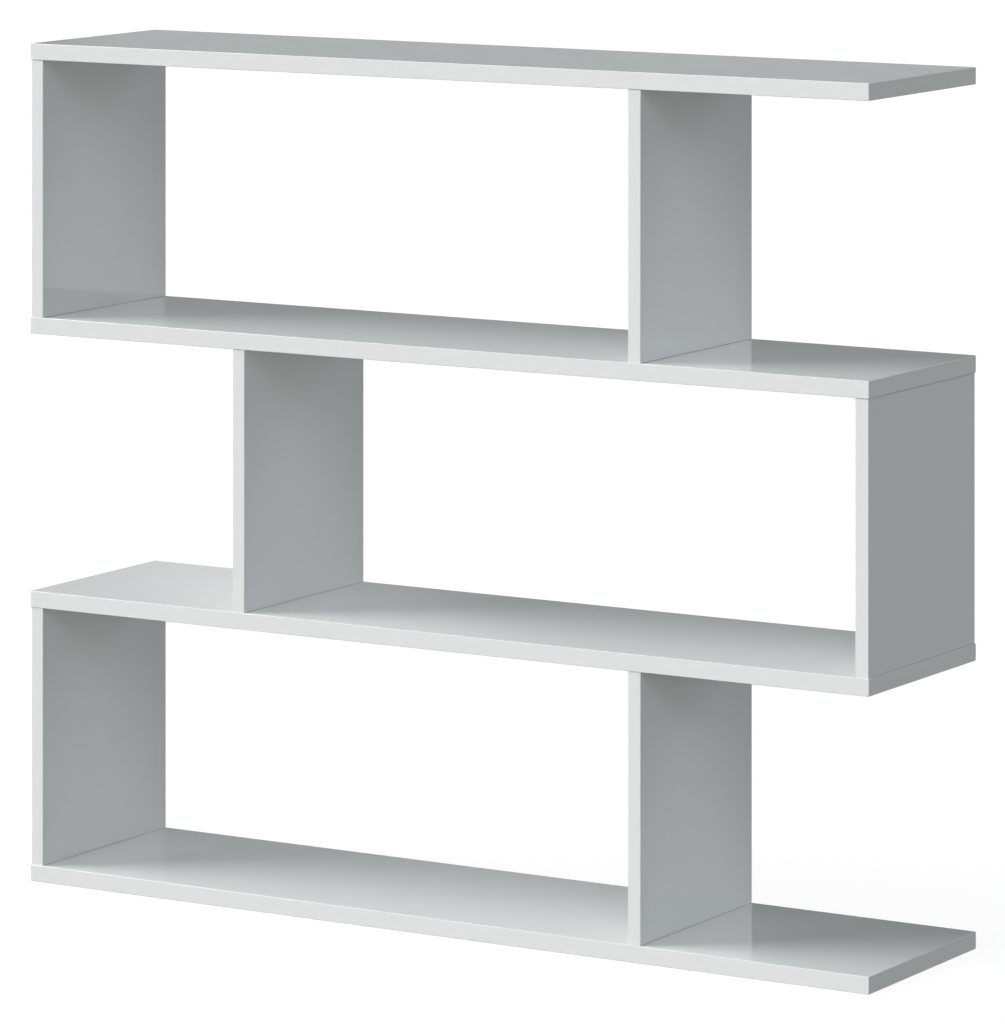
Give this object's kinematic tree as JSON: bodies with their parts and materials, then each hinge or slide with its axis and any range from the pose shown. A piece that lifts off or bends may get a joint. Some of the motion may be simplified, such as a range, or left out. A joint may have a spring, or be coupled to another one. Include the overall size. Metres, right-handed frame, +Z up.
{
  "type": "zigzag bookshelf",
  "caption": "Free-standing zigzag bookshelf: full-width gloss white shelves on uprights that are staggered from tier to tier, open at front and back.",
  "frame": {"origin": "on the floor, under the middle of the base shelf's underside", "axes": "+X along the shelves to the viewer's right, +Y to the back so that the front faces -Y, +Z up"},
  "size_m": [1.1, 0.25, 0.97],
  "materials": {
    "melamine_board": "gloss",
    "edge_band": "gloss",
    "beech": "matte",
    "plated_steel": "satin"
  },
  "bodies": {
    "root": {"base_shelf": "melamine_board", "lower_shelf": "melamine_board", "upper_shelf": "melamine_board", "top_shelf": "melamine_board", "bottom_left_side": "melamine_board", "bottom_divider": "melamine_board", "middle_divider": "melamine_board", "middle_right_side": "melamine_board", "top_left_side": "melamine_board", "top_divider": "melamine_board", "base_shelf_front_band": "edge_band", "base_shelf_back_band": "edge_band", "base_shelf_left_band": "edge_band", "base_shelf_right_band": "edge_band", "lower_shelf_front_band": "edge_band", "lower_shelf_back_band": "edge_band", "lower_shelf_left_band": "edge_band", "lower_shelf_right_band": "edge_band", "upper_shelf_front_band": "edge_band", "upper_shelf_back_band": "edge_band", "upper_shelf_left_band": "edge_band", "upper_shelf_right_band": "edge_band", "top_shelf_front_band": "edge_band", "top_shelf_back_band": "edge_band", "top_shelf_left_band": "edge_band", "top_shelf_right_band": "edge_band", "bottom_left_side_front_band": "edge_band", "bottom_left_side_back_band": "edge_band", "bottom_divider_front_band": "edge_band", "bottom_divider_back_band": "edge_band", "middle_divider_front_band": "edge_band", "middle_divider_back_band": "edge_band", "middle_right_side_front_band": "edge_band", "middle_right_side_back_band": "edge_band", "top_left_side_front_band": "edge_band", "top_left_side_back_band": "edge_band", "top_divider_front_band": "edge_band", "top_divider_back_band": "edge_band", "dowels": "beech", "assembly_screws": "plated_steel"}
  },
  "joints": []
}
